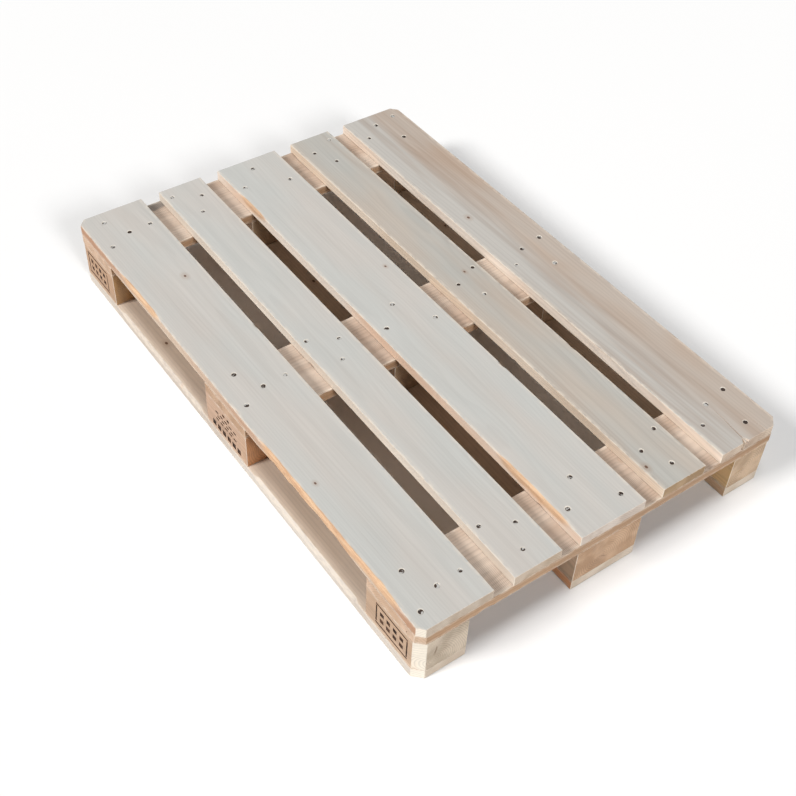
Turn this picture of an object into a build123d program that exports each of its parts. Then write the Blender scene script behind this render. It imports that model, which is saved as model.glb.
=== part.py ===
from build123d import *
import os
from collections import namedtuple

# A nailed wooden flat pallet with four-way entry, 1200 x 800 x 144 mm.
#
# It is built the way the real one is nailed together: five deck boards lie across three
# stringer boards, the stringers rest on nine blocks, and three base boards run under the
# blocks.  Three kinds of nail hold it, and every nail sits in its own hole in the wood.
#
# Frame: the origin is on the ground at the centre of the footprint.  +X runs along the
# length to the front end, +Y runs across the width and +Z is up.  Left and right are as
# seen by someone facing the front end, so left is -Y.  All dimensions are in millimetres.

# ---- Driving dimensions ---------------------------------------------------------------

pallet_length = 1200.0
pallet_width = 800.0
board_thickness = 22.0
block_height = 78.0
wide_board = 145.0
narrow_board = 100.0

corner_cut = 14.0  # 45 degree cut where a deck board or stringer reaches a pallet corner
block_corner_cut = 17.0  # the same on the corner blocks and the base boards under them

bevel_width = 5.0  # bevel on the upper long edges of the base boards, measured inwards
bevel_drop = 10.0  # and measured downwards
bevel_end_gap = 25.0  # length of edge left square beside each block
cutter_radius = 10.0  # radius of the cutter at the low edge of the bevel

# Nails: overall length, shank and head diameters, head thickness and point length.
NailSize = namedtuple("NailSize", "length shank head head_thickness point")
block_nail = NailSize(90.0, 5.0, 9.0, 1.5, 8.0)  # deck board, stringer and block
deck_nail = NailSize(38.0, 3.8, 7.6, 1.2, 6.0)  # deck board and stringer
base_nail = NailSize(70.0, 4.5, 9.0, 1.4, 7.0)  # base board and block
head_recess = 0.6  # how far a driven head lies below the face of its board

# ---- Layout worked out from the driving dimensions ------------------------------------

block_bottom = board_thickness
stringer_bottom = block_bottom + block_height
deck_bottom = stringer_bottom + board_thickness
deck_top = deck_bottom + board_thickness

# The stringers and the blocks under them stand at three stations along the length.
station_pitch = (pallet_length - wide_board) / 2
stations = {"rear": -station_pitch, "middle": 0.0, "front": station_pitch}

# The blocks and base boards stand in three lanes across the width.
Lane = namedtuple("Lane", "y width")
lane_pitch = (pallet_width - narrow_board) / 2
lanes = {
    "left": Lane(-lane_pitch, narrow_board),
    "centre": Lane(0.0, wide_board),
    "right": Lane(lane_pitch, narrow_board),
}

# The deck is wide, narrow, wide, narrow, wide, with four equal gaps.
deck_gap = (pallet_width - 3 * wide_board - 2 * narrow_board) / 4
outer_deck_y = (pallet_width - wide_board) / 2
inner_deck_y = wide_board / 2 + deck_gap + narrow_board / 2

# ---- Nail pattern ---------------------------------------------------------------------

# Deck boards by name.  Each nail is given from the point where the deck board's centre
# line crosses a stringer's, and the same pattern repeats at all three stringers.
DeckBoard = namedtuple("DeckBoard", "y width block_nails deck_nails")
deck_boards = {
    "deck_board_left_outer": DeckBoard(
        -outer_deck_y, wide_board, [(-39, -28), (15, 2), (40, -48)], [(12, 50)]
    ),
    "deck_board_left_inner": DeckBoard(
        -inner_deck_y, narrow_board, [], [(-42, -34), (-15, 22), (35, -3)]
    ),
    "deck_board_centre": DeckBoard(0.0, wide_board, [(-39, -2), (12, -51), (37, 46)], []),
    "deck_board_right_inner": DeckBoard(
        inner_deck_y, narrow_board, [], [(-42, 34), (-15, -22), (35, 4)]
    ),
    "deck_board_right_outer": DeckBoard(
        outer_deck_y, wide_board, [(-43, 46), (-33, -8), (38, 20)], [(1, -50)]
    ),
}

# Nails driven upwards through a base board, from the centre of each block.
base_nail_pattern = {
    "left": [(-28, 22), (2, -25), (33, 12)],
    "centre": [(-28, 34), (2, -38), (33, 16)],
    "right": [(-28, -22), (2, 25), (33, -12)],
}


def deck_nail_places(board, pattern, station_x):
    """Where one deck board's nails meet the deck's top face at one stringer."""
    return [(station_x + dx, board.y + dy) for dx, dy in pattern]


def base_nail_places(lane_name, station_x):
    """Where the nails under one block meet the base board's lower face."""
    lane = lanes[lane_name]
    return [(station_x + dx, lane.y + dy) for dx, dy in base_nail_pattern[lane_name]]


# ---- Nails ----------------------------------------------------------------------------


def nail_shape(size, head_top=0.0):
    """A nail hanging from the origin, its head's upper face raised to head_top."""
    head_radius = size.head / 2
    shank_radius = size.shank / 2
    with BuildPart() as shape:
        with BuildSketch(Plane.XZ):
            with BuildLine():
                Polyline(
                    (0, head_top),
                    (head_radius, head_top),
                    (head_radius, -size.head_thickness),
                    (shank_radius, -size.head_thickness),
                    (shank_radius, size.point - size.length),
                    (0, -size.length),
                    close=True,
                )
            make_face()
        revolve(axis=Axis.Z)
    return shape.part


# A nail's hole is the nail itself with its head carried up to the face of the board.
nails = {size: nail_shape(size) for size in (block_nail, deck_nail, base_nail)}
nail_holes = {size: nail_shape(size, head_recess) for size in nails}


def driven_down(places):
    """Locations of nails driven down into the deck."""
    return [Location((x, y, deck_top - head_recess)) for x, y in places]


def driven_up(places):
    """Locations of nails driven up into the base."""
    return [Location((x, y, head_recess), (180, 0, 0)) for x, y in places]


def cut_nail_holes(size, nail_locations):
    """Take one kind of nail's holes out of the part being built."""
    if nail_locations:
        with Locations(*nail_locations):
            add(nail_holes[size], mode=Mode.SUBTRACT)


# ---- Wood shaping ---------------------------------------------------------------------


def at_pallet_corner(edge):
    """True for an upright edge that stands at one of the pallet's four corners."""
    middle = edge.center()
    return (
        abs(abs(middle.X) - pallet_length / 2) < 1
        and abs(abs(middle.Y) - pallet_width / 2) < 1
    )


def cut_pallet_corners(piece, cut):
    """Cut the upright edges at the pallet's corners at 45 degrees."""
    corners = piece.edges().filter_by(Axis.Z).filter_by(at_pallet_corner)
    if corners:
        chamfer(corners, length=cut)


# The space swept by a conical cutter that bevels one bay of a base board's edge: it stands
# beside the board, half way between two blocks, with its upper face at the board's.
bevel_reach = cutter_radius + bevel_width
bevel_run_out = (bevel_reach**2 - cutter_radius**2) ** 0.5
bevel_travel = station_pitch - wide_board - 2 * (bevel_end_gap + bevel_run_out)

with BuildPart() as bevel_sweep:
    with BuildSketch(Plane.YZ):
        with BuildLine():
            Polyline(
                (-bevel_reach, 0),
                (bevel_reach, 0),
                (cutter_radius, -bevel_drop),
                (-cutter_radius, -bevel_drop),
                close=True,
            )
        make_face()
    extrude(amount=bevel_travel / 2, both=True)
    with Locations((-bevel_travel / 2, 0, -bevel_drop / 2), (bevel_travel / 2, 0, -bevel_drop / 2)):
        Cone(cutter_radius, bevel_reach, bevel_drop)


def rout_bevels(lane):
    """Bevel both upper edges of a base board between its blocks, with round run-outs."""
    with Locations((0, lane.y, board_thickness)):
        with GridLocations(station_pitch, lane.width + 2 * cutter_radius, 2, 2):
            add(bevel_sweep.part, mode=Mode.SUBTRACT)


def save(piece, name):
    """Label a finished piece and write it to its own STEP file."""
    piece.part.label = name
    export_step(piece.part, f"parts/{name}.step")


os.makedirs("parts", exist_ok=True)

# ---- Deck boards ----------------------------------------------------------------------

for board_name, board in deck_boards.items():
    with BuildPart() as deck_board:
        with BuildSketch(Plane.XY.offset(deck_bottom)):
            with Locations((0, board.y)):
                Rectangle(pallet_length, board.width)
        extrude(amount=board_thickness)
        cut_pallet_corners(deck_board, corner_cut)
        for station_x in stations.values():
            block_places = deck_nail_places(board, board.block_nails, station_x)
            deck_places = deck_nail_places(board, board.deck_nails, station_x)
            cut_nail_holes(block_nail, driven_down(block_places))
            cut_nail_holes(deck_nail, driven_down(deck_places))
    save(deck_board, board_name)

# ---- Stringers ------------------------------------------------------------------------

for station_name, station_x in stations.items():
    with BuildPart() as stringer:
        with BuildSketch(Plane.XY.offset(stringer_bottom)):
            with Locations((station_x, 0)):
                Rectangle(wide_board, pallet_width)
        extrude(amount=board_thickness)
        cut_pallet_corners(stringer, corner_cut)
        for board in deck_boards.values():
            block_places = deck_nail_places(board, board.block_nails, station_x)
            deck_places = deck_nail_places(board, board.deck_nails, station_x)
            cut_nail_holes(block_nail, driven_down(block_places))
            cut_nail_holes(deck_nail, driven_down(deck_places))
    save(stringer, f"stringer_{station_name}")

# ---- Blocks ---------------------------------------------------------------------------

# The deck board whose nails reach the blocks of each lane.
board_over_lane = {
    "left": deck_boards["deck_board_left_outer"],
    "centre": deck_boards["deck_board_centre"],
    "right": deck_boards["deck_board_right_outer"],
}

for station_name, station_x in stations.items():
    for lane_name, lane in lanes.items():
        board = board_over_lane[lane_name]
        with BuildPart() as block:
            with BuildSketch(Plane.XY.offset(block_bottom)):
                with Locations((station_x, lane.y)):
                    Rectangle(wide_board, lane.width)
            extrude(amount=block_height)
            cut_pallet_corners(block, block_corner_cut)
            block_places = deck_nail_places(board, board.block_nails, station_x)
            cut_nail_holes(block_nail, driven_down(block_places))
            cut_nail_holes(base_nail, driven_up(base_nail_places(lane_name, station_x)))
        save(block, f"block_{station_name}_{lane_name}")

# ---- Base boards ----------------------------------------------------------------------

for lane_name, lane in lanes.items():
    with BuildPart() as base_board:
        with BuildSketch(Plane.XY):
            with Locations((0, lane.y)):
                Rectangle(pallet_length, lane.width)
        extrude(amount=board_thickness)
        cut_pallet_corners(base_board, block_corner_cut)
        rout_bevels(lane)
        for station_x in stations.values():
            cut_nail_holes(base_nail, driven_up(base_nail_places(lane_name, station_x)))
    save(base_board, f"base_board_{lane_name}")

# ---- Nails, one node for each kind ----------------------------------------------------

with BuildPart() as block_nails:
    for station_x in stations.values():
        for board in board_over_lane.values():
            places = deck_nail_places(board, board.block_nails, station_x)
            with Locations(*driven_down(places)):
                add(nails[block_nail])
save(block_nails, "block_nails")

with BuildPart() as deck_nails:
    for station_x in stations.values():
        for board in deck_boards.values():
            for place in deck_nail_places(board, board.deck_nails, station_x):
                with Locations(*driven_down([place])):
                    add(nails[deck_nail])
save(deck_nails, "deck_nails")

with BuildPart() as base_nails:
    for station_x in stations.values():
        for lane_name in lanes:
            with Locations(*driven_up(base_nail_places(lane_name, station_x))):
                add(nails[base_nail])
save(base_nails, "base_nails")
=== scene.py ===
import math
from dataclasses import dataclass
from itertools import product
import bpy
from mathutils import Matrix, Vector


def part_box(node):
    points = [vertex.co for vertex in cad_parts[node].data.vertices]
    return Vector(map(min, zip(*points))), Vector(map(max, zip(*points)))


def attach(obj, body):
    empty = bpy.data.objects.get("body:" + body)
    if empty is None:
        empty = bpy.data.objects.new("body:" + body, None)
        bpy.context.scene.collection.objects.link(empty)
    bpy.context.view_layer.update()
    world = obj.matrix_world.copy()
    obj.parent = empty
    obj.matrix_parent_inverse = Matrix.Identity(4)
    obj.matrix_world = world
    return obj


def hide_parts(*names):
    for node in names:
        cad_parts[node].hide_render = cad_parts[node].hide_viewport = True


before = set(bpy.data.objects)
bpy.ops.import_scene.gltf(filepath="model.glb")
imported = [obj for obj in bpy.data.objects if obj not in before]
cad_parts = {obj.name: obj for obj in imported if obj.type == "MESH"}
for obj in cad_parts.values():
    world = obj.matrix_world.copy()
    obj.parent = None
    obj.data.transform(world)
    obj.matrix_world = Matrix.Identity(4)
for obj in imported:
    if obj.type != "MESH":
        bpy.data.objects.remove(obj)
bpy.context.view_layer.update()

from types import SimpleNamespace

import bmesh
import bpy
import numpy as np
from mathutils import Matrix, Vector

# The wooden pallet in metres, in the CAD model's frame: +X to the front end, +Y across,
# +Z up, left is -Y.  Each CAD board and block is replaced by a worn, sawn piece of timber
# of the same size; the nails are the CAD's own.

MM = 0.001
X, Y, Z = range(3)


def srgb(red, green, blue):
    """A linear colour from sRGB values of 0 to 255."""
    def linear(value):
        value /= 255
        return value / 12.92 if value <= 0.04045 else ((value + 0.055) / 1.055) ** 2.4
    return (linear(red), linear(green), linear(blue), 1.0)


# ---- Camera ---------------------------------------------------------------------------

CAMERA_AZIMUTH = math.radians(52.5)
CAMERA_ELEVATION = math.radians(46.0)
CAMERA_ROLL = math.radians(3.0)
CAMERA_DISTANCE = 2.49
CAMERA_LENS = 56.0
CAMERA_SENSOR = 36.0
CAMERA_SLIDE = (-0.008, -0.06)  # how far right of and above the origin it aims, in its view


def make_camera():
    """A camera that looks at the origin, then is slid in its picture's plane and rolled."""
    data = bpy.data.cameras.new("camera")
    data.lens = CAMERA_LENS
    data.sensor_width = CAMERA_SENSOR
    data.clip_start = 0.1
    data.clip_end = 50.0
    camera = bpy.data.objects.new("camera", data)
    bpy.context.scene.collection.objects.link(camera)
    level = math.cos(CAMERA_ELEVATION)
    back = Vector((math.sin(CAMERA_AZIMUTH) * level,
                   -math.cos(CAMERA_AZIMUTH) * level,
                   math.sin(CAMERA_ELEVATION)))
    right = Vector((math.cos(CAMERA_AZIMUTH), math.sin(CAMERA_AZIMUTH), 0.0))
    upright = Matrix((right, back.cross(right), back)).transposed()
    turn = upright @ Matrix.Rotation(CAMERA_ROLL, 3, "Z")
    place = turn @ Vector((*CAMERA_SLIDE, CAMERA_DISTANCE))
    camera.matrix_world = Matrix.LocRotScale(place, turn, None)
    bpy.context.scene.camera = camera


# ---- Node trees -----------------------------------------------------------------------


class Nodes:
    """A short way to write a material's node tree as formulas."""

    def __init__(self, name):
        self.material = bpy.data.materials.new(name)
        self.material.use_nodes = True
        self.tree = self.material.node_tree
        self.tree.nodes.clear()

    def add(self, kind, **settings):
        node = self.tree.nodes.new("ShaderNode" + kind)
        for name, value in settings.items():
            setattr(node, name, value)
        return node

    def feed(self, socket, value):
        """Link a socket to another node's, or give it a fixed value."""
        if isinstance(value, bpy.types.NodeSocket):
            self.tree.links.new(value, socket)
        else:
            socket.default_value = value

    def math(self, operation, a, b=0.0):
        node = self.add("Math", operation=operation)
        self.feed(node.inputs[0], a)
        self.feed(node.inputs[1], b)
        return node.outputs[0]

    def plus(self, a, b):
        return self.math("ADD", a, b)

    def minus(self, a, b):
        return self.math("SUBTRACT", a, b)

    def times(self, a, b):
        return self.math("MULTIPLY", a, b)

    def length2(self, a, b):
        """The length of a two-part vector."""
        return self.math("SQRT", self.plus(self.times(a, a), self.times(b, b)))

    def step(self, value, low, high, start=0.0, end=1.0):
        """A smooth step from start to end as the value goes from low to high."""
        node = self.add("MapRange", interpolation_type="SMOOTHSTEP")
        for socket, given in zip(node.inputs, (value, low, high, start, end)):
            self.feed(socket, given)
        return node.outputs[0]

    def split(self, vector):
        node = self.add("SeparateXYZ")
        self.feed(node.inputs[0], vector)
        return node.outputs[0], node.outputs[1], node.outputs[2]

    def join(self, x, y, z):
        node = self.add("CombineXYZ")
        for socket, given in zip(node.inputs, (x, y, z)):
            self.feed(socket, given)
        return node.outputs[0]

    def vector(self, operation, a, b):
        node = self.add("VectorMath", operation=operation)
        self.feed(node.inputs[0], a)
        self.feed(node.inputs[1], b)
        return node.outputs[0]

    def noise(self, vector, stretch, detail=2.0, roughness=0.5):
        """Noise from 0 to 1 whose features repeat stretch times a metre on each axis."""
        node = self.add("TexNoise")
        self.feed(node.inputs["Vector"], self.vector("MULTIPLY", vector, stretch))
        node.inputs["Scale"].default_value = 1.0
        node.inputs["Detail"].default_value = detail
        node.inputs["Roughness"].default_value = roughness
        return node.outputs[0]

    def mix(self, amount, a, b, blend="MIX"):
        # A Mix node's colours are its inputs 6 and 7 and its output 2.
        node = self.add("Mix", data_type="RGBA", blend_type=blend)
        self.feed(node.inputs[0], amount)
        self.feed(node.inputs[6], a)
        self.feed(node.inputs[7], b)
        return node.outputs[2]

    def shade(self, colour, value):
        """A colour made lighter or darker by a number near 1."""
        return self.mix(1.0, colour, self.join(value, value, value), "MULTIPLY")

    def attribute(self, name):
        return self.add("Attribute", attribute_name=name).outputs["Fac"]

    def finish(self, colour, roughness, height=None, bump=0.0, specular=0.3, metallic=0.0):
        """End the tree in a Principled shader; height is in metres."""
        shader = self.add("BsdfPrincipled")
        self.feed(shader.inputs["Base Color"], colour)
        self.feed(shader.inputs["Roughness"], roughness)
        shader.inputs["Specular IOR Level"].default_value = specular
        shader.inputs["Metallic"].default_value = metallic
        if height is not None:
            node = self.add("Bump")
            node.inputs["Strength"].default_value = bump
            node.inputs["Distance"].default_value = 1.0
            self.feed(node.inputs["Height"], height)
            self.tree.links.new(node.outputs[0], shader.inputs["Normal"])
        output = self.add("OutputMaterial")
        self.tree.links.new(shader.outputs[0], output.inputs[0])
        return self.material


# ---- What each piece of timber is like ------------------------------------------------


@dataclass
class Timber:
    """One sawn piece.  Lengths are in millimetres, from the piece's centre."""

    node: str
    slot: str
    seed: int
    axis: int = X  # the way its grain runs
    top: tuple = (srgb(188, 188, 184), srgb(193, 188, 182))
    side: tuple = (srgb(218, 203, 187), srgb(205, 178, 152))
    end: tuple = (srgb(193, 177, 160), srgb(172, 152, 132))
    under: tuple = ()  # the lower face, where it differs from the sides
    fresh: float = 0.8  # how pale its sawn-off corners are
    rings: tuple = (0.03, 0.08, 0.12)  # how dark its latewood is on top, sides and ends
    pith: tuple = (20.0, -70.0)  # where the heart of the log lies, across and up
    ring_gap: float = 4.0  # from one growth ring to the next
    saw: float = 0.0  # depth of the saw marks that cross the piece
    cuts: tuple = ()  # corners of the plan cut at 45 degrees: (x side, y side, size)
    bevels: bool = False
    wane: tuple = ()  # torn or bark-edged stretches: (edge, from, to, inwards, down)
    chips: int = 3
    splits: tuple = ()  # cracks in from the ends: (end, across, length, gap, slant)
    checks: int = 0  # how many short drying checks open in each end
    knots: tuple = ()  # (along, across, radius)
    heart: tuple = ()  # where the board turns to brown heartwood, going across: (from, to)
    streaks: float = 0.06  # strength of the broad brown streaks
    grey_patch: tuple = ()  # a dark grey patch: (along, across, half length, half width)
    mark: str = ""  # the kind of burned mark on its outer side


FRONT, REAR = 1, -1
LEFT, RIGHT = -1, 1
TOP_LEFT, TOP_RIGHT, LOW_RIGHT, LOW_LEFT = range(4)

# The corners cut off the deck and off the blocks and base boards, along each side.
DECK_CUT = 14.0
BLOCK_CUT = 17.0

# The inner boards' sides have paler tones than the outer left board's: painted light that makes up
# for the shade in the narrow gaps between the boards.
timbers = [
    Timber("deck_board_left_outer", "deck_wood", 11,
           side=(srgb(204, 181, 160), srgb(182, 139, 110)),
           end=(srgb(208, 194, 178), srgb(190, 172, 153)),
           cuts=((FRONT, LEFT, 12.0), (REAR, LEFT, DECK_CUT)),
           wane=((TOP_LEFT, 110, 560, 2.2, 8.0), (LOW_LEFT, 120, 430, 2.5, 6.0),
                 (TOP_LEFT, -420, -230, 1.6, 6.0)),
           pith=(35, -60), knots=((-330, 30, 3), (260, -44, 2))),
    Timber("deck_board_left_inner", "deck_wood", 12,
           side=(srgb(240, 230, 217), srgb(230, 217, 202)),
           end=(srgb(206, 188, 169), srgb(188, 168, 146)), pith=(-25, -80)),
    Timber("deck_board_centre", "deck_wood", 13,
           side=(srgb(240, 227, 214), srgb(230, 199, 175)),
           end=(srgb(216, 203, 191), srgb(200, 184, 171)),
           wane=((TOP_LEFT, 360, 585, 1.8, 6.0), (TOP_LEFT, -520, -380, 1.2, 5.0)),
           pith=(-50, -90), knots=((-140, 52, 2),)),
    # Its end tones are darker than the other boards': painted shade, on both its ends.
    Timber("deck_board_right_inner", "deck_wood", 14,
           top=(srgb(177, 175, 169), srgb(184, 174, 163)),
           side=(srgb(242, 226, 208), srgb(232, 212, 190)),
           end=(srgb(182, 154, 122), srgb(162, 134, 102)),
           rings=(0.05, 0.12, 0.14), pith=(20, -48), knots=((-40, 12, 2), (545, -40, 3)),
           streaks=0.22),
    # Its front end has a long crack with a splinter gone from its mouth, and a short crack.
    Timber("deck_board_right_outer", "deck_wood_brown", 15,
           top=(srgb(185, 181, 175), srgb(179, 160, 144)),
           side=(srgb(252, 241, 229), srgb(242, 225, 209)),
           end=(srgb(212, 192, 172), srgb(194, 172, 152)), heart=(-25, 25),
           rings=(0.06, 0.12, 0.16), pith=(-12, -34), ring_gap=5.5, streaks=0.4,
           cuts=((FRONT, RIGHT, 16.0), (REAR, RIGHT, DECK_CUT)),
           splits=((FRONT, -14, 100, 1.8, 8), (FRONT, -14, 12, 16.0, 0), (FRONT, 38, 50, 1.0, -5)),
           knots=((-175, -38, 3),)),
]

# The stations along the length and the lanes across the width, and which are outermost.
STATIONS = {"rear": REAR, "middle": 0, "front": FRONT}
LANES = {"left": LEFT, "centre": 0, "right": RIGHT}

# The tones of a stringer's ends where they differ from the others'.
STRINGER_END_TONES = {"middle": ((200, 168, 141), (180, 147, 119))}
for seed, (station, outer) in enumerate(STATIONS.items(), 21):
    light, dark = STRINGER_END_TONES.get(station, ((218, 188, 163), (198, 166, 139)))
    timbers.append(Timber(
        f"stringer_{station}", "stringer_wood", seed, axis=Y,
        top=(srgb(197, 181, 166), srgb(176, 155, 138)),
        side=(srgb(184, 149, 118), srgb(168, 133, 102)),
        end=(srgb(*light), srgb(*dark)),
        under=(srgb(196, 168, 142), srgb(178, 148, 122)),
        rings=(0.12, 0.14, 0.12), pith=(15, -60), saw=0.35, streaks=0.3, checks=1, fresh=0.1,
        cuts=tuple((outer, side, DECK_CUT) for side in (LEFT, RIGHT) if outer),
        knots=((-190, 22, 4), (120, -30, 3)),
        grey_patch=(-234, -62, 40, 16) if outer == REAR else ()))

# The tones of a block's sides and ends where they differ from the others'.
BLOCK_TONES = {
    "block_front_left": ((208, 178, 152), (210, 194, 174)),
    "block_middle_left": ((196, 164, 140), (206, 152, 110)),
    "block_rear_left": ((204, 170, 142), (186, 146, 102)),
    "block_front_centre": ((222, 192, 164), (204, 170, 140)),
    # The front right block's side and top tone is its own golden colour, made lighter as painted
    # light against the shade it stands in.
    "block_front_right": ((240, 202, 150), (208, 181, 153)),
}
for seed, (station, lane) in enumerate(product(STATIONS, LANES), 31):
    node = f"block_{station}_{lane}"
    side, end = BLOCK_TONES.get(node, ((200, 170, 142), (190, 162, 134)))
    at_end = STATIONS[station]
    at_side = LANES[lane]
    timbers.append(Timber(
        node, "block_wood", seed,
        top=(srgb(*side), srgb(*(c - 18 for c in side))),
        side=(srgb(*side), srgb(*(c - 18 for c in side))),
        end=(srgb(*end), srgb(*(c - 26 for c in end))),
        rings=(0.12, 0.14, 0.20), pith=(-38 + 9 * (seed % 5), -30 + 11 * (seed % 4)),
        chips=2, checks=2, streaks=0.3,
        cuts=((at_end, at_side, BLOCK_CUT),) if at_end and at_side else (),
        mark="" if lane == "centre" else "frame" if at_end else "rows"))

# The centre and right base boards' sides lie in the deck's shade; their paler, more orange tones
# are painted light that makes up for it.
BASE_SIDE_TONES = {
    "left": ((212, 203, 193), (200, 188, 176)),
    "centre": ((240, 184, 142), (228, 168, 124)),
    "right": ((232, 202, 172), (220, 186, 152)),
}
for seed, (lane, outer) in enumerate(LANES.items(), 51):
    timbers.append(Timber(
        f"base_board_{lane}", "base_wood", seed,
        top=(srgb(216, 200, 184), srgb(206, 188, 170)),
        side=tuple(srgb(*tone) for tone in BASE_SIDE_TONES[lane]),
        under=(srgb(198, 182, 164), srgb(180, 160, 140)),
        end=(srgb(218, 203, 186), srgb(204, 187, 168)),
        rings=(0.08, 0.10, 0.12), pith=(24, -64), bevels=True,
        cuts=tuple((end, outer, BLOCK_CUT) for end in (FRONT, REAR) if outer),
        knots=((255, 10, 3), (-300, -18, 3))))


# ---- Timber meshes --------------------------------------------------------------------

ARC = 5  # points round each long edge
ACROSS_PITCH = 4.0 * MM  # between points round a cross-section
LONG_PITCH = 6.0 * MM  # between cross-sections
FINE_PITCH = 3.0 * MM  # the same on blocks and on saw-marked pieces
SHORT_PIECE = 0.2  # only the blocks are shorter than this
ARRIS = 1.0 * MM  # how far the long edges are rounded
END_ROUND = 1.2 * MM  # how far the edges of the ends are rounded
WANE_RAMP = 45 * MM  # how gradually a torn stretch of edge begins and ends
SAW_PITCH = 9 * MM  # between the saw marks that cross a piece

# The bevels on the base boards' upper edges, which stop short of every block.
BEVEL_WIDTH = 5.0 * MM
BEVEL_DROP = 10.0 * MM
BEVEL_END_GAP = 25.0 * MM
CUTTER_RADIUS = 10.0 * MM


def smooth_noise(rng, a, b, cell_a, cell_b):
    """Noise from 0 to 1 at paired positions, from random values one cell apart."""
    i = (a - a.min()) / cell_a
    j = (b - b.min()) / cell_b
    grid = rng.random((int(i.max()) + 2, int(j.max()) + 2))
    i0 = i.astype(int)
    j0 = j.astype(int)
    u = i - i0
    v = j - j0
    u = u * u * (3 - 2 * u)
    v = v * v * (3 - 2 * v)
    return ((grid[i0, j0] * (1 - u) + grid[i0 + 1, j0] * u) * (1 - v)
            + (grid[i0, j0 + 1] * (1 - u) + grid[i0 + 1, j0 + 1] * u) * v)


def line_noise(rng, a, cell):
    return smooth_noise(rng, a, np.zeros_like(a), cell, 1.0)


def stations_along(timber, length, pitch):
    """Positions of the cross-sections from end to end, closer together at the ends."""
    near_end = np.array([0, 0.15, 0.4, 0.75, 1.2, 2.2, 3.6]) * MM
    for _, _, size in timber.cuts:
        near_end = np.append(near_end, np.arange(1, 6) * size / 5 * MM)
        near_end = np.append(near_end, (size + 0.5) * MM)
    near_end = np.unique(np.round(near_end, 6))
    inner = np.arange(near_end[-1] + 2 * MM, length - near_end[-1] - 1 * MM, pitch)
    return np.concatenate([near_end, inner, length - near_end[::-1]]) - length / 2


def edge_wear(timber, rng, s):
    """For each long edge: how far it is worn inwards and down, how flat, how torn."""
    inward = np.empty((4, len(s)))
    down = np.empty((4, len(s)))
    flat = np.zeros((4, len(s)))
    torn = np.zeros((4, len(s)))
    for edge in range(4):
        inward[edge] = ARRIS * (0.7 + 0.6 * line_noise(rng, s, 34 * MM))
        down[edge] = ARRIS * (0.7 + 0.6 * line_noise(rng, s, 23 * MM))
    for _ in range(timber.chips):
        edge = rng.integers(4)
        centre = rng.uniform(s[0], s[-1])
        half = rng.uniform(5, 16) * MM
        depth = rng.uniform(0.8, 2.4) * MM
        shape = np.clip(1 - ((s - centre) / half) ** 2, 0, 1)
        inward[edge] += depth * shape
        down[edge] += depth * rng.uniform(0.7, 1.4) * shape
        flat[edge] = np.maximum(flat[edge], np.minimum(1, 3 * shape))
        torn[edge] = np.maximum(torn[edge], 0.35 * np.minimum(1, 2 * shape))
    for edge, start, stop, width, depth in timber.wane:
        begun = np.clip((s - start * MM) / WANE_RAMP, 0, 1)
        shape = begun * np.clip((stop * MM - s) / WANE_RAMP, 0, 1)
        ragged = 0.35 + 0.8 * line_noise(rng, s, 26 * MM) + 0.35 * line_noise(rng, s, 7 * MM)
        inward[edge] += width * MM * shape * ragged
        down[edge] += depth * MM * shape * (0.4 + 0.9 * line_noise(rng, s, 19 * MM))
        flat[edge] = np.maximum(flat[edge], 0.5 * shape)
        torn[edge] = np.maximum(torn[edge], shape)
    return inward, down, flat, torn


def routed_bevels(s, blocks, inward, down, flat):
    """Cut the base boards' upper edges between the blocks as a conical cutter does."""
    run_out = math.sqrt((CUTTER_RADIUS + BEVEL_WIDTH) ** 2 - CUTTER_RADIUS ** 2)
    for (_, start), (stop, _) in zip(blocks, blocks[1:]):
        first = start + BEVEL_END_GAP + run_out
        last = stop - BEVEL_END_GAP - run_out
        beyond = np.maximum(np.maximum(first - s, s - last), 0)
        reach = np.sqrt(np.maximum((CUTTER_RADIUS + BEVEL_WIDTH) ** 2 - beyond ** 2, 0))
        width = np.maximum(reach - CUTTER_RADIUS, 0)
        at_side = np.sqrt(CUTTER_RADIUS ** 2 + beyond ** 2) - CUTTER_RADIUS
        drop = BEVEL_DROP * np.clip(1 - at_side / BEVEL_WIDTH, 0, 1)
        cut = width > 0
        for edge in (TOP_LEFT, TOP_RIGHT):
            inward[edge] = np.where(cut, np.maximum(inward[edge], width), inward[edge])
            down[edge] = np.where(cut, np.maximum(down[edge], drop), down[edge])
            flat[edge] = np.where(cut, 1.0, flat[edge])


def section_loops(low, high, n_flat, n_side, inward, down, flat):
    """Closed loops of points round every cross-section, starting at the upper left edge.

    low and high are the section's limits at each station, as (across, up) rows."""
    corners = (
        (low[0], high[1], 1, -1),
        (high[0], high[1], -1, -1),
        (high[0], low[1], -1, 1),
        (low[0], low[1], 1, 1),
    )
    arcs = []
    for edge, (v, w, v_in, w_in) in enumerate(corners):
        turn = np.linspace(0, 1, ARC)
        if edge % 2:
            turn = turn[::-1]
        angle = turn * math.pi / 2
        bevel = flat[edge][:, None]
        v_share = (1 - np.cos(angle)) * (1 - bevel) + turn * bevel
        w_share = (1 - np.sin(angle)) * (1 - bevel) + (1 - turn) * bevel
        arcs.append(np.stack([v[:, None] + v_in * inward[edge][:, None] * v_share,
                              w[:, None] + w_in * down[edge][:, None] * w_share], -1))
    parts = []
    for edge, count in enumerate((n_flat, n_side, n_flat, n_side)):
        parts.append(arcs[edge])
        share = (np.arange(count) + 1)[None, :, None] / (count + 1)
        start = arcs[edge][:, -1:, :]
        stop = arcs[(edge + 1) % 4][:, :1, :]
        parts.append(start * (1 - share) + stop * share)
    return np.concatenate(parts, axis=1)


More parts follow.
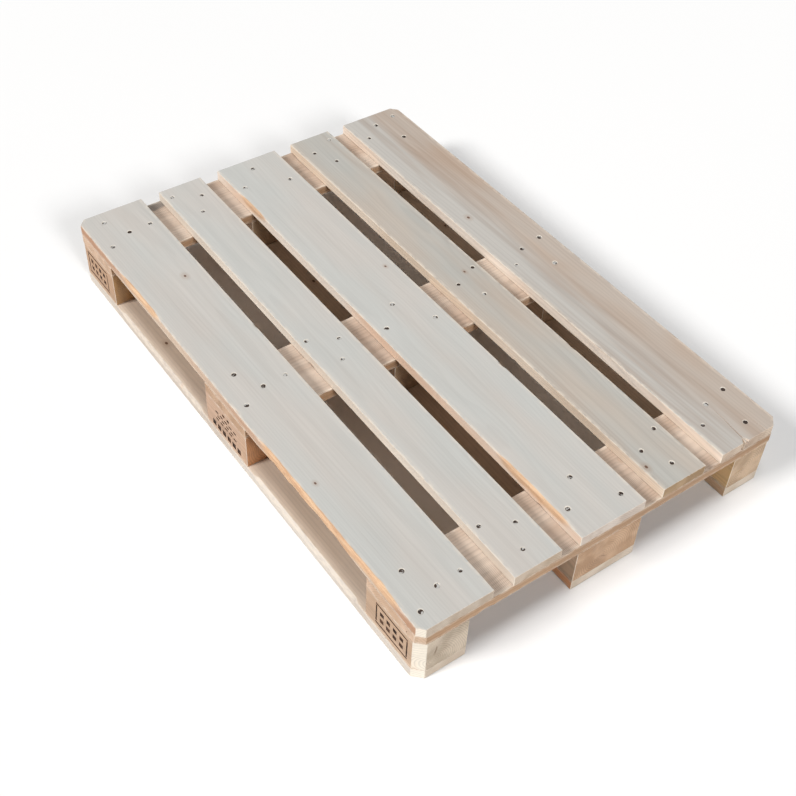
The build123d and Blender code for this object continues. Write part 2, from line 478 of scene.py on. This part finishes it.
def outward(loops):
    """Unit normals of the loops, in the plane of the section."""
    along = np.roll(loops, -1, axis=1) - np.roll(loops, 1, axis=1)
    normal = np.stack([-along[..., 1], along[..., 0]], -1)
    return normal / np.maximum(np.linalg.norm(normal, axis=-1, keepdims=True), 1e-9)


def inward_sign(loops):
    """1 where outward() points into the piece, which depends on the loops' direction."""
    centre = loops.mean(axis=1, keepdims=True)
    return -np.sign((outward(loops) * (loops - centre)).sum(axis=(1, 2)))[:, None, None]


def wear_weights(n_flat, n_side, torn):
    """How much of each section's points is worn edge, and how much is torn fibre."""
    stations = torn.shape[1]
    arris_parts = []
    torn_parts = []
    for edge, count in enumerate((n_flat, n_side, n_flat, n_side)):
        after = torn[(edge + 1) % 4]
        share = (np.arange(count) + 1) / (count + 1)
        beside_edge = np.zeros(count)
        beside_edge[[0, -1]] = 0.4
        arris_parts.append(np.ones((stations, ARC)))
        arris_parts.append(np.tile(beside_edge, (stations, 1)))
        torn_parts.append(np.tile(torn[edge][:, None], (1, ARC)))
        if count == n_side:
            torn_parts.append(torn[edge][:, None] * (1 - share) + after[:, None] * share)
        else:
            torn_parts.append(np.zeros((stations, count)))
    return np.concatenate(arris_parts, axis=1), np.concatenate(torn_parts, axis=1)


def cap_points(loop, n_flat, n_side):
    """A grid of points that fills one end's loop, and the loop indices on its border."""
    half = ARC // 2
    count = len(loop)
    starts = [half, half + ARC + n_flat, half + 2 * ARC + n_flat + n_side,
              half + 3 * ARC + 2 * n_flat + n_side]
    spans = [ARC + n_flat, ARC + n_side, ARC + n_flat, ARC + n_side]
    top, right, bottom, left = (
        [(start + k) % count for k in range(span + 1)] for start, span in zip(starts, spans))
    bottom = bottom[::-1]
    left = left[::-1]
    x = np.linspace(0, 1, len(top))[None, :, None]
    y = np.linspace(0, 1, len(left))[:, None, None]
    grid = ((1 - y) * loop[top][None] + y * loop[bottom][None]
            + (1 - x) * loop[left][:, None] + x * loop[right][:, None]
            - (1 - x) * (1 - y) * loop[top[0]] - x * (1 - y) * loop[top[-1]]
            - (1 - x) * y * loop[bottom[0]] - x * y * loop[bottom[-1]])
    border = np.full(grid.shape[:2], -1)
    border[0] = top
    border[-1] = bottom
    border[:, 0] = left
    border[:, -1] = right
    return grid, border


def section_limits(timber, s, size):
    """The low and high limits of each cross-section, as (across, up) rows."""
    half_length = size[timber.axis] / 2
    half_across = size[1 - timber.axis] / 2
    half_up = size[Z] / 2
    into_round = np.maximum(END_ROUND - (half_length - np.abs(s)), 0)
    inset = END_ROUND - np.sqrt(np.maximum(END_ROUND ** 2 - into_round ** 2, 0))
    limits = {LEFT: np.full_like(s, half_across), RIGHT: np.full_like(s, half_across)}
    for end, side, cut in timber.cuts:
        if timber.axis == Y:
            end, side = side, end
        from_this_end = half_length - s * end
        limits[side] = limits[side] - np.maximum(cut * MM - from_this_end, 0)
    low_limit = (-limits[LEFT] + inset, np.full_like(s, -half_up) + inset)
    high_limit = (limits[RIGHT] - inset, np.full_like(s, half_up) - inset)
    return low_limit, high_limit


def surface_relief(timber, rng, s, around, torn_weight):
    """How deep each point lies in the surface: unevenness, saw marks and torn fibres."""
    grid_s, grid_u = np.meshgrid(s, around, indexing="ij")
    relief = 0.16 * MM * smooth_noise(rng, grid_s, grid_u, 60 * MM, 7 * MM)
    relief += 0.30 * MM * smooth_noise(rng, grid_s, grid_u, 200 * MM, 50 * MM)
    if timber.saw:
        wobble = 6 * MM * smooth_noise(rng, grid_s, grid_u, 40 * MM, 60 * MM)
        strength = smooth_noise(rng, grid_s, grid_u, 90 * MM, 80 * MM) ** 2
        wave = 0.5 + 0.5 * np.sin((grid_s + wobble) * math.tau / SAW_PITCH)
        relief += timber.saw * MM * strength * wave
    relief += 1.3 * MM * torn_weight * smooth_noise(rng, grid_s, grid_u, 16 * MM, 3 * MM)
    return relief


def timber_mesh(timber, low, high, blocks):
    """The worn piece as vertices, faces, and arris and torn weights for its vertices."""
    rng = np.random.default_rng(timber.seed)
    length_axis = timber.axis
    across_axis = 1 - length_axis
    size = high - low
    middle = (low + high) / 2
    fine = timber.saw or size[length_axis] < SHORT_PIECE
    s = stations_along(timber, size[length_axis], FINE_PITCH if fine else LONG_PITCH)
    inward, down, flat, torn = edge_wear(timber, rng, s)
    if timber.bevels:
        routed_bevels(s + middle[length_axis], blocks, inward, down, flat)

    n_flat = int(size[across_axis] / ACROSS_PITCH)
    n_side = int(size[Z] / ACROSS_PITCH)
    limits = section_limits(timber, s, size)
    loops = section_loops(*limits, n_flat, n_side, inward, down, flat)
    arris_weight, torn_weight = wear_weights(n_flat, n_side, torn)
    arris_weight[:2] = 1.0
    arris_weight[-2:] = 1.0
    steps = np.linalg.norm(np.diff(loops[len(s) // 2], axis=0), axis=1)
    around = np.concatenate([[0], np.cumsum(steps)])
    relief = surface_relief(timber, rng, s, around, torn_weight)
    from_end = size[length_axis] / 2 - np.abs(s)
    relief *= np.clip(from_end / (4 * MM), 0, 1)[:, None]
    loops = loops + outward(loops) * relief[..., None] * inward_sign(loops)

    count = loops.shape[1]
    points = np.empty((len(s), count, 3))
    points[..., length_axis] = s[:, None]
    points[..., across_axis] = loops[..., 0]
    points[..., Z] = loops[..., 1]
    index = np.arange(len(s) * count).reshape(len(s), count)
    ahead = np.roll(index, -1, axis=1)
    faces = np.stack([index[:-1], ahead[:-1], ahead[1:], index[1:]], -1).reshape(-1, 4).tolist()
    vertices = [points.reshape(-1, 3)]
    arris_parts = [arris_weight.ravel()]
    torn_parts = [torn_weight.ravel()]

    total = len(s) * count
    for row in (0, len(s) - 1):
        grid, border = cap_points(points[row], n_flat, n_side)
        inner = border < 0
        number = border + row * count
        number[inner] = total + np.arange(inner.sum())
        grain = smooth_noise(rng, grid[..., across_axis], grid[..., Z], 5 * MM, 5 * MM)
        grid[..., length_axis] -= np.sign(s[row]) * 0.3 * MM * grain
        vertices.append(grid[inner])
        arris_parts.append(np.zeros(inner.sum()))
        torn_parts.append(np.zeros(inner.sum()))
        total += int(inner.sum())
        corners = (number[:-1, :-1], number[:-1, 1:], number[1:, 1:], number[1:, :-1])
        faces += np.stack(corners, -1).reshape(-1, 4).tolist()
    return (np.concatenate(vertices) + middle, faces,
            np.concatenate(arris_parts), np.concatenate(torn_parts))


# ---- Cutters: nail holes, splits and burned marks --------------------------------------

WOOD, BRUISED, CHARRED = range(3)  # material slots of a piece
NAIL_REACH = 12 * MM  # nails are narrower than this and stand further apart
LATHE_SIDES = 20
PROUD = 1 * MM  # how far a cutter stands out of the wood, so that it cuts right through
MARK_DEPTH = 1.1 * MM


def nail_places(node):
    """The axis, head radius and two ends of every nail in a CAD node."""
    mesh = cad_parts[node].data
    points = np.array([vertex.co for vertex in mesh.vertices])
    found = []
    left = np.ones(len(points), bool)
    while left.any():
        first = points[np.argmax(left)]
        near = left & (np.hypot(*(points[:, :2] - first[:2]).T) < NAIL_REACH)
        nail = points[near]
        low, high = nail.min(0), nail.max(0)
        found.append((*((low + high) / 2)[:2], (high[0] - low[0]) / 2, low[2], high[2]))
        left &= ~near
    return found


def lathe(work, profile, material):
    """A closed round solid from (radius, x, y, z) levels, the first and last being points."""
    angles = [k * math.tau / LATHE_SIDES for k in range(LATHE_SIDES)]
    rings = [[work.verts.new((x + radius * math.cos(angle), y + radius * math.sin(angle), z))
              for angle in angles] for radius, x, y, z in profile[1:-1]]
    tips = [work.verts.new(profile[0][1:]), work.verts.new(profile[-1][1:])]
    for k in range(LATHE_SIDES):
        after = (k + 1) % LATHE_SIDES
        work.faces.new((tips[0], rings[0][after], rings[0][k])).material_index = material
        work.faces.new((tips[1], rings[-1][k], rings[-1][after])).material_index = material
        for one, other in zip(rings, rings[1:]):
            work.faces.new((one[k], one[after], other[after], other[k])).material_index = material


def cut_nail(work, rng, place, up):
    """The space of one nail, with an uneven funnel of bruised wood above its head."""
    x, y, head, low, high = place
    face = high if up else low
    tip = low if up else high
    out = 1 if up else -1
    shank = head * 0.6
    mouth = rng.uniform(0.9, 2.0) * MM
    lean_x = rng.uniform(-1.2, -0.4) * MM
    lean_y = rng.uniform(-0.6, 0.6) * MM
    # Radius, height, and how much of the lean applies there.
    profile = (
        (0, face + out * 3 * MM, 0),
        (head + mouth * 2.5, face + out * 3 * MM, 2.5),
        (head + mouth, face + out * 0.6 * MM, 1),
        (head + 0.2 * MM, face - out * 0.1 * MM, 0),
        (head + 0.2 * MM, face - out * 2.2 * MM, 0),
        (shank, face - out * 2.6 * MM, 0),
        (shank, tip + out * 7 * MM, 0),
        (0, tip - out * 0.5 * MM, 0),
    )
    levels = [(radius, x + lean * lean_x, y + lean * lean_y, z) for radius, z, lean in profile]
    lathe(work, levels, BRUISED)


def prism(work, outline, low, high, axes, material):
    """A closed prism: the outline lies in the first two axes and runs along the third."""
    def corner(point, depth):
        place = [0.0, 0.0, 0.0]
        place[axes[0]], place[axes[1]], place[axes[2]] = point[0], point[1], depth
        return work.verts.new(place)
    near = [corner(point, low) for point in outline]
    far = [corner(point, high) for point in outline]
    work.faces.new(near).material_index = material
    work.faces.new(far[::-1]).material_index = material
    for k in range(len(outline)):
        after = (k + 1) % len(outline)
        work.faces.new((near[after], near[k], far[k], far[after])).material_index = material


def cut_split(work, timber, rng, low, high, split):
    """A drying crack that runs in from one end and wanders along the grain."""
    end, across, length, gap, slant = split
    length_axis = timber.axis
    across_axis = 1 - length_axis
    edge = high[length_axis] if end > 0 else low[length_axis]
    middle = (low[across_axis] + high[across_axis]) / 2 + across * MM
    share = np.linspace(0, 1, 9)
    s = edge + end * 2 * MM - end * share * (length + 2) * MM
    wander = np.cumsum(rng.uniform(-0.6, 0.6, len(share))) * MM + slant * MM * share
    half = gap * MM / 2 * (1 - share ** 1.5) + 0.06 * MM
    outline = [(a, middle + b + c) for a, b, c in zip(s, wander, half)]
    outline += [(a, middle + b - c) for a, b, c in zip(s[::-1], wander[::-1], half[::-1])]
    prism(work, outline, low[Z] - PROUD, high[Z] + PROUD, (length_axis, across_axis, Z), WOOD)


def cut_check(work, timber, rng, low, high, end):
    """A short drying check in an end, a thin lens in the end grain that runs inwards."""
    length_axis = timber.axis
    across_axis = 1 - length_axis
    edge = high[length_axis] if end > 0 else low[length_axis]
    heart = np.array(timber.pith) * MM
    half = (high - low)[[across_axis, Z]] / 2
    centre = rng.uniform(-0.55, 0.55, 2) * half
    ray = (centre - heart) / np.linalg.norm(centre - heart)
    reach = rng.uniform(0.25, 0.4) * half.min()
    side = np.array([-ray[1], ray[0]])
    share = np.linspace(-1, 1, 7)
    bend = rng.uniform(-0.8, 0.8, len(share)) * MM
    gap = rng.uniform(0.35, 0.6) * MM * (1 - share ** 2) + 0.03 * MM
    middle = (low + high)[[across_axis, Z]] / 2 + centre
    near = [middle + ray * reach * s + side * (b + g) for s, b, g in zip(share, bend, gap)]
    far = [middle + ray * reach * s + side * (b - g) for s, b, g in zip(share, bend, gap)]
    depth = sorted((edge + end * PROUD, edge - end * rng.uniform(15, 35) * MM))
    prism(work, near + far[::-1], *depth, (across_axis, Z, length_axis), WOOD)


def mark_rectangles(kind):
    """A burned mark as (left, bottom, right, top) boxes in millimetres from its centre."""
    if kind == "frame":
        # The bars stop short of each other, so a bridge of wood is left at each corner.
        w, h, line, bridge = 44, 27, 3.5, 2
        inner = h - line - bridge
        boxes = [(-w, -h, w, -h + line), (-w, h - line, w, h),
                 (-w, -inner, -w + line, inner), (w - line, -inner, w, inner)]
        boxes += [(x, z, x + 10, z + 10) for x in (-32, -14, 4, 22) for z in (-14, 4)]
        return boxes
    boxes = [(x, 22, x + 8, 28) for x in (-12, 4)]
    for row, z in enumerate((12, 3, -6)):
        boxes += [(x, z, x + 10, z + 4) for x in range(-38 + 6 * (row % 2), 28, 16)]
    boxes += [(x, -30, x + 12, -17) for x in (-52, -34, -16, 2, 20, 38)]
    return boxes


def cut_mark(work, timber, low, high):
    """Sink a generic burned mark into the face that looks out of the pallet's long side."""
    centre_x = (low[X] + high[X]) / 2
    centre_z = (low[Z] + high[Z]) / 2
    outer = low[Y] if low[Y] < 0 else high[Y]
    inward = 1 if low[Y] < 0 else -1
    for x0, z0, x1, z1 in mark_rectangles(timber.mark):
        outline = [(centre_x + x * MM, centre_z + z * MM)
                   for x, z in ((x0, z0), (x1, z0), (x1, z1), (x0, z1))]
        depth = (outer - inward * PROUD, outer + inward * MARK_DEPTH)
        prism(work, outline, *depth, (X, Z, Y), CHARRED)


def cut_away(piece, work):
    """Take everything in the cutter mesh out of the piece."""
    if not work.faces:
        work.free()
        return
    bmesh.ops.recalc_face_normals(work, faces=work.faces)
    mesh = bpy.data.meshes.new("cutter")
    work.to_mesh(mesh)
    work.free()
    cutter = bpy.data.objects.new("cutter", mesh)
    bpy.context.scene.collection.objects.link(cutter)
    for material in piece.data.materials:
        mesh.materials.append(material)
    boolean = piece.modifiers.new("cut", "BOOLEAN")
    boolean.operation = "DIFFERENCE"
    boolean.solver = "MANIFOLD"
    boolean.object = cutter
    graph = bpy.context.evaluated_depsgraph_get()
    cut = bpy.data.meshes.new_from_object(piece.evaluated_get(graph))
    whole = piece.data
    piece.modifiers.clear()
    piece.data = cut
    cut.name = whole.name
    bpy.data.meshes.remove(whole)
    bpy.data.objects.remove(cutter)
    bpy.data.meshes.remove(mesh)
    split_wide_faces(cut)


def split_wide_faces(mesh):
    """Divide the many-sided faces that a cut leaves, dropping pairs of scraps back to back."""
    work = bmesh.new()
    work.from_mesh(mesh)
    wide = [face for face in work.faces if len(face.verts) > 4]
    bmesh.ops.triangulate(work, faces=wide, ngon_method="BEAUTY")
    by_corners = {}
    for face in work.faces:
        by_corners.setdefault(frozenset(face.verts), []).append(face)
    twins = [face for faces in by_corners.values() if len(faces) > 1 for face in faces]
    bmesh.ops.delete(work, geom=twins, context="FACES")
    work.to_mesh(mesh)
    work.free()


# ---- Materials ------------------------------------------------------------------------

UNDERSIDE_TINT = srgb(214, 196, 176)
BROWN_STREAK = srgb(150, 126, 108)
DARK_GREY_PATCH = srgb(98, 96, 94)
FRESHLY_SAWN = srgb(240, 233, 219)
# A painted highlight for the rounded edges.
PAINTED_EDGE_HIGHLIGHT = srgb(226, 214, 198)
TORN_WOOD = srgb(196, 150, 112)
RAW_FIBRE = srgb(226, 190, 152)
KNOT_HALO = srgb(150, 112, 80)
KNOT_HEART = srgb(92, 58, 38)
TEETH_PITCH = 3.1 * MM  # between the scratches of the saw's teeth


def wood_place(n, timber, middle, rng):
    """Nodes for where a point lies in the piece, and for the way its surface faces."""
    x, y, z = n.split(n.add("TexCoord").outputs["Object"])
    normal = n.split(n.add("NewGeometry").outputs["Normal"])
    along, across = (x, y) if timber.axis == X else (y, x)
    along = n.minus(along, middle[timber.axis])
    across = n.minus(across, middle[1 - timber.axis])
    up = n.minus(z, middle[Z])
    shift = tuple(rng.uniform(3, 40, 3))  # so that no two pieces have the same grain
    return SimpleNamespace(
        along=along, across=across, up=up,
        grain=n.vector("ADD", n.join(along, across, up), shift),
        on_top=n.step(normal[Z], 0.5, 0.85),
        on_end=n.step(n.math("ABSOLUTE", normal[timber.axis]), 0.55, 0.85),
        underneath=n.step(n.times(normal[Z], -1.0), 0.5, 0.85),
        diagonal=n.math("ABSOLUTE", n.times(normal[X], normal[Y])))


def growth_rings(n, timber, p, rng):
    """How much latewood is at a point, with masks of the knots and of their halos."""
    # The rings lie round the heart of the log, which wanders along the piece.
    wander = n.times(n.minus(n.noise(p.grain, (1.6, 5, 5), 2.0), 0.5), 0.055)
    drift = n.times(p.along, float(rng.uniform(-0.03, 0.03)))
    to_heart_v = n.plus(n.minus(p.across, timber.pith[0] * MM), n.plus(wander, drift))
    to_heart_w = n.plus(n.minus(p.up, timber.pith[1] * MM), n.times(wander, 0.6))
    radius = n.length2(to_heart_v, to_heart_w)
    count = n.plus(n.times(radius, 1 / (timber.ring_gap * MM)),
                   n.times(n.noise(p.grain, (3, 30, 30), 2.0), 1.6))

    # Knots bend the rings and have a dark heart of their own.
    knot = 0.0
    halo = 0.0
    for knot_along, knot_across, knot_radius in timber.knots:
        size = knot_radius * MM
        away = n.length2(n.times(n.minus(p.along, knot_along * MM), 0.7),
                         n.minus(p.across, knot_across * MM))
        rough = n.times(n.minus(n.noise(p.grain, (90, 90, 20), 2.0), 0.5), size * 0.7)
        this_knot = n.step(n.plus(away, rough), size * 0.7, size * 1.1, 1.0, 0.0)
        this_halo = n.step(away, size, size * 4.0, 1.0, 0.0)
        count = n.plus(count, n.times(this_halo, 2.2))
        knot = n.math("MAXIMUM", knot, this_knot)
        halo = n.math("MAXIMUM", halo, this_halo)
    phase = n.math("FRACT", count)
    latewood = n.times(n.step(phase, 0.35, 0.86), n.step(phase, 0.90, 1.0, 1.0, 0.0))
    return latewood, knot, halo


def face_colour(n, timber, p):
    """The wood's own colour on each of its faces, before grain and wear."""
    patch = n.step(n.noise(p.grain, (3.5, 11, 11), 2.0), 0.3, 0.7)
    if timber.heart:
        start, stop = (edge * MM for edge in timber.heart)
        border = n.times(n.minus(n.noise(p.grain, (2, 9, 9), 2.0), 0.5), 90 * MM)
        brown = n.step(n.plus(p.across, border), start, stop)
        patch = n.times(brown, n.step(patch, 0.0, 1.0, 0.55, 1.0))
    side_tone = n.step(n.noise(p.grain, (3.0, 1.5, 8), 2.0), 0.38, 0.62)
    end_tone = n.step(n.noise(p.grain, (5, 22, 22), 3.0), 0.35, 0.65)
    colour = n.mix(side_tone, *timber.side)
    colour = n.mix(p.on_top, colour, n.mix(patch, *timber.top))
    colour = n.mix(p.on_end, colour, n.mix(end_tone, *timber.end))
    if timber.under:
        return n.mix(p.underneath, colour, n.mix(patch, *timber.under))
    return n.mix(n.times(p.underneath, 0.6), colour, UNDERSIDE_TINT, "MULTIPLY")


def stained(n, timber, p, colour):
    """The colour with broad brown streaks, a dark grey patch and freshly sawn corners."""
    broad = n.noise(p.grain, (1.4, 26, 26), 3.0, 0.6)
    colour = n.mix(n.step(broad, 0.46, 0.70, 0.0, timber.streaks), colour, BROWN_STREAK)
    if timber.grey_patch:
        along, across, half_length, half_width = (size * MM for size in timber.grey_patch)
        away = n.length2(n.times(n.minus(p.along, along), 1 / half_length),
                         n.times(n.minus(p.across, across), 1 / half_width))
        away = n.plus(away, n.times(n.noise(p.grain, (60, 90, 90), 3.0), 0.7))
        colour = n.mix(n.step(away, 0.9, 1.5, 0.7, 0.0), colour, DARK_GREY_PATCH)
    return n.mix(n.step(p.diagonal, 0.3, 0.45, 0.0, timber.fresh), colour, FRESHLY_SAWN)


def grained(n, timber, p, colour, latewood, fibre, streak):
    """The colour made lighter and darker by the rings, the fibres and the saw."""
    ring_top, ring_side, ring_end = timber.rings
    ring_depth = n.step(p.on_top, 0, 1, ring_side, ring_top)
    ring_depth = n.plus(ring_depth, n.times(p.on_end, ring_end - ring_side))
    value = n.minus(1.0, n.times(latewood, ring_depth))
    value = n.times(value, n.step(fibre, 0.2, 0.8, 0.965, 1.03))
    value = n.times(value, n.step(streak, 0.25, 0.75, 0.965, 1.025))
    if timber.saw:
        teeth = n.math("SINE", n.plus(n.times(p.along, math.tau / TEETH_PITCH),
                                      n.times(n.noise(p.grain, (25, 25, 25), 2.0), 9.0)))
        scored = n.step(n.noise(p.grain, (9, 11, 11), 2.0), 0.48, 0.64)
        scratch = n.times(scored, n.step(teeth, 0.35, 0.95, 0.0, 0.3))
        value = n.times(value, n.minus(1.0, scratch))
    return n.shade(colour, value)


def worn(n, p, colour, torn):
    """The colour with a painted highlight along the rounded edges, and raw fibres where an edge is
    torn.
    """
    speck = n.noise(p.grain, (60, 220, 220), 3.0, 0.6)
    # Painted highlight: specks of paler colour along the rounded edges, where light catches them.
    edge_highlight = n.times(n.attribute("arris"), n.step(speck, 0.35, 0.6, 0.0, 0.55))
    colour = n.mix(edge_highlight, colour, PAINTED_EDGE_HIGHLIGHT)
    splinter = n.step(n.noise(p.grain, (14, 180, 180), 4.0, 0.7), 0.3, 0.7)
    raw = n.mix(splinter, TORN_WOOD, RAW_FIBRE)
    return n.mix(n.step(torn, 0.15, 0.8, 0.0, 0.85), colour, raw)


def wood_material(timber, middle):
    """Solid wood: growth rings round the log's heart, fibres, blotches, knots, torn edges, painted
    edge highlights.
    """
    n = Nodes(timber.node + "_wood")
    rng = np.random.default_rng(timber.seed + 1000)
    p = wood_place(n, timber, middle, rng)
    latewood, knot, halo = growth_rings(n, timber, p, rng)
    fibre = n.noise(p.grain, (7, 420, 420), 3.0, 0.6)
    streak = n.noise(p.grain, (2.2, 70, 70), 4.0, 0.65)
    torn = n.attribute("torn")

    colour = stained(n, timber, p, face_colour(n, timber, p))
    colour = grained(n, timber, p, colour, latewood, fibre, streak)
    colour = worn(n, p, colour, torn)
    if timber.knots:
        colour = n.mix(n.times(halo, 0.25), colour, KNOT_HALO)
        colour = n.mix(n.times(knot, 0.85), colour, KNOT_HEART)

    splinters = n.times(torn, n.noise(p.grain, (40, 160, 160), 3.0, 0.7))
    pores = n.times(p.on_end, n.noise(p.grain, (300, 260, 700), 3.0))
    height = n.plus(n.times(fibre, 0.16 * MM), n.times(streak, 0.18 * MM))
    height = n.minus(height, n.times(latewood, 0.05 * MM))
    height = n.plus(height, n.times(splinters, 1.2 * MM))
    height = n.plus(height, n.times(pores, 0.35 * MM))
    roughness = n.step(n.noise(p.grain, (12, 60, 60), 2.0), 0.3, 0.7, 0.68, 0.86)
    return n.finish(colour, roughness, height, bump=0.55, specular=0.28)


def bruised_material():
    """Crushed and stained fibres in the funnel that a hammered nail leaves."""
    n = Nodes("bruised_wood")
    place = n.add("TexCoord").outputs["Object"]
    tone = n.noise(place, (400, 900, 900), 3.0)
    colour = n.mix(n.step(tone, 0.3, 0.7), srgb(188, 178, 164), srgb(232, 226, 216))
    return n.finish(colour, n.step(tone, 0.3, 0.7, 0.7, 0.9), n.times(tone, 0.3 * MM), 0.6)


def charred_material():
    """Wood burned by a hot stamp: nearly black, browner where it was cooler."""
    n = Nodes("charred_wood")
    place = n.add("TexCoord").outputs["Object"]
    heat = n.noise(place, (70, 70, 70), 3.0)
    ash = n.noise(place, (300, 900, 900), 3.0, 0.7)
    colour = n.mix(n.step(heat, 0.35, 0.7), srgb(46, 32, 24), srgb(96, 66, 44))
    colour = n.shade(colour, n.step(ash, 0.3, 0.7, 0.8, 1.15))
    return n.finish(colour, n.step(ash, 0.3, 0.7, 0.75, 0.92), n.times(ash, 0.4 * MM), 0.6)


def nail_material():
    """Nail steel: part of each head dark, as dirt and painted shade, and part bright, as a painted
    highlight.
    """
    n = Nodes("nail_steel")
    place = n.add("TexCoord").outputs["Object"]
    highlight_share = n.noise(place, (150, 150, 150), 2.0)
    blotch = n.noise(place, (420, 420, 420), 3.0, 0.6)
    # The dark part is painted shade with a brownish dirt tint, and the bright part is a painted
    # highlight.
    dirt_and_shade = n.mix(n.step(blotch, 0.35, 0.7), srgb(58, 54, 52), srgb(86, 66, 54))
    colour = n.mix(n.step(highlight_share, 0.50, 0.60), dirt_and_shade, srgb(208, 206, 202))
    roughness = n.step(highlight_share, 0.5, 0.6, 0.65, 0.4)
    return n.finish(colour, roughness, n.times(blotch, 0.15 * MM), 0.5, metallic=0.35)


# ---- Make the timber -------------------------------------------------------------------

SHARP_ANGLE = math.radians(38)  # edges that turn by more than this stay crisp


def overlaps(place, low, high):
    """True if a nail reaches more than a millimetre into a box."""
    x, y, _, bottom, top = place
    return (low[X] < x < high[X] and low[Y] < y < high[Y]
            and bottom < high[Z] - 1 * MM and top > low[Z] + 1 * MM)


def make_timber(timber, blocks, down_nails, up_nails, shared):
    """Build one piece with its holes, splits and mark, and let it stand for its CAD node."""
    low, high = (np.array(corner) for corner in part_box(timber.node))
    vertices, faces, arris, torn = timber_mesh(timber, low, high, blocks)
    mesh = bpy.data.meshes.new(timber.node + "_timber")
    mesh.from_pydata(vertices.tolist(), [], faces)
    for name, values in (("arris", arris), ("torn", torn)):
        mesh.attributes.new(name, "FLOAT", "POINT").data.foreach_set("value", values)
    work = bmesh.new()
    work.from_mesh(mesh)
    bmesh.ops.recalc_face_normals(work, faces=work.faces)
    work.to_mesh(mesh)
    work.free()
    for material in (wood_material(timber, (low + high) / 2), *shared):
        mesh.materials.append(material)
    piece = bpy.data.objects.new(timber.node + "_timber", mesh)
    bpy.context.scene.collection.objects.link(piece)

    cutter = bmesh.new()
    rng = np.random.default_rng(timber.seed + 2000)
    for places, up in ((down_nails, True), (up_nails, False)):
        for place in places:
            if overlaps(place, low, high):
                cut_nail(cutter, rng, place, up)
    for split in timber.splits:
        cut_split(cutter, timber, rng, low, high, split)
    for end in (FRONT, REAR):
        for _ in range(timber.checks):
            cut_check(cutter, timber, rng, low, high, end)
    if timber.mark:
        cut_mark(cutter, timber, low, high)
    cut_away(piece, cutter)

    piece.data.polygons.foreach_set("use_smooth", [True] * len(piece.data.polygons))
    piece.data.set_sharp_from_angle(angle=SHARP_ANGLE)
    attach(piece, "root")
    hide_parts(timber.node)


# ---- Floor and light -------------------------------------------------------------------

FLOOR_HALF = 40.0
FLOOR_GAP = 0.5 * MM  # under the base boards, so that no two faces coincide


def make_floor():
    mesh = bpy.data.meshes.new("floor")
    signs = ((-1, -1), (1, -1), (1, 1), (-1, 1))
    corners = [(x * FLOOR_HALF, y * FLOOR_HALF, 0) for x, y in signs]
    mesh.from_pydata(corners, [], [(0, 1, 2, 3)])
    n = Nodes("floor")
    cloud = n.noise(n.add("TexCoord").outputs["Object"], (0.8, 0.8, 0.8), 2.0)
    colour = n.mix(cloud, srgb(238, 238, 238), srgb(236, 236, 236))
    mesh.materials.append(n.finish(colour, 0.6, specular=0.2))
    floor = bpy.data.objects.new("floor", mesh)
    floor.location.z = -FLOOR_GAP
    bpy.context.scene.collection.objects.link(floor)


def sun(name, direction, width, strength, colour=(1.0, 1.0, 1.0)):
    """A soft light from far away, width degrees across, that shines from direction."""
    data = bpy.data.lights.new(name, "SUN")
    data.angle = math.radians(width)
    data.energy = strength
    data.color = colour
    light = bpy.data.objects.new(name, data)
    light.rotation_mode = "QUATERNION"
    light.rotation_quaternion = Vector(direction).to_track_quat("Z", "Y")
    bpy.context.scene.collection.objects.link(light)


def make_light():
    """A dim fill from all round, a white backdrop that lights nothing, and three soft suns."""
    world = bpy.data.worlds.new("studio")
    bpy.context.scene.world = world
    world.use_nodes = True
    tree = world.node_tree
    fill = tree.nodes["Background"]
    fill.inputs["Strength"].default_value = 0.1
    backdrop = tree.nodes.new("ShaderNodeBackground")
    backdrop.inputs["Strength"].default_value = 0.95
    seen = tree.nodes.new("ShaderNodeLightPath")
    choice = tree.nodes.new("ShaderNodeMixShader")
    tree.links.new(seen.outputs["Is Camera Ray"], choice.inputs[0])
    tree.links.new(fill.outputs[0], choice.inputs[1])
    tree.links.new(backdrop.outputs[0], choice.inputs[2])
    tree.links.new(choice.outputs[0], tree.nodes["World Output"].inputs["Surface"])
    for sky in (fill, backdrop):
        sky.inputs["Color"].default_value = (1.0, 0.995, 0.99, 1.0)
    sun("top", (0.05, -0.1, 1.0), 16, 1.3)
    sun("left", (-0.12, -0.77, 0.62), 14, 2.3, (1.0, 0.99, 0.975))
    sun("front", (0.85, -0.05, 0.5), 14, 1.45)


make_camera()
make_floor()
make_light()
bpy.context.scene.view_settings.view_transform = "Standard"

steel = nail_material()
for node in ("block_nails", "deck_nails", "base_nails"):
    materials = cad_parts[node].data.materials
    for k in range(len(materials)):
        materials[k] = steel

down_nails = nail_places("block_nails") + nail_places("deck_nails")
up_nails = nail_places("base_nails")
block_boxes = [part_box(f"block_{station}_centre") for station in STATIONS]
block_spans = [(low[X], high[X]) for low, high in block_boxes]
shared_materials = (bruised_material(), charred_material())
for timber in timbers:
    make_timber(timber, block_spans, down_nails, up_nails, shared_materials)
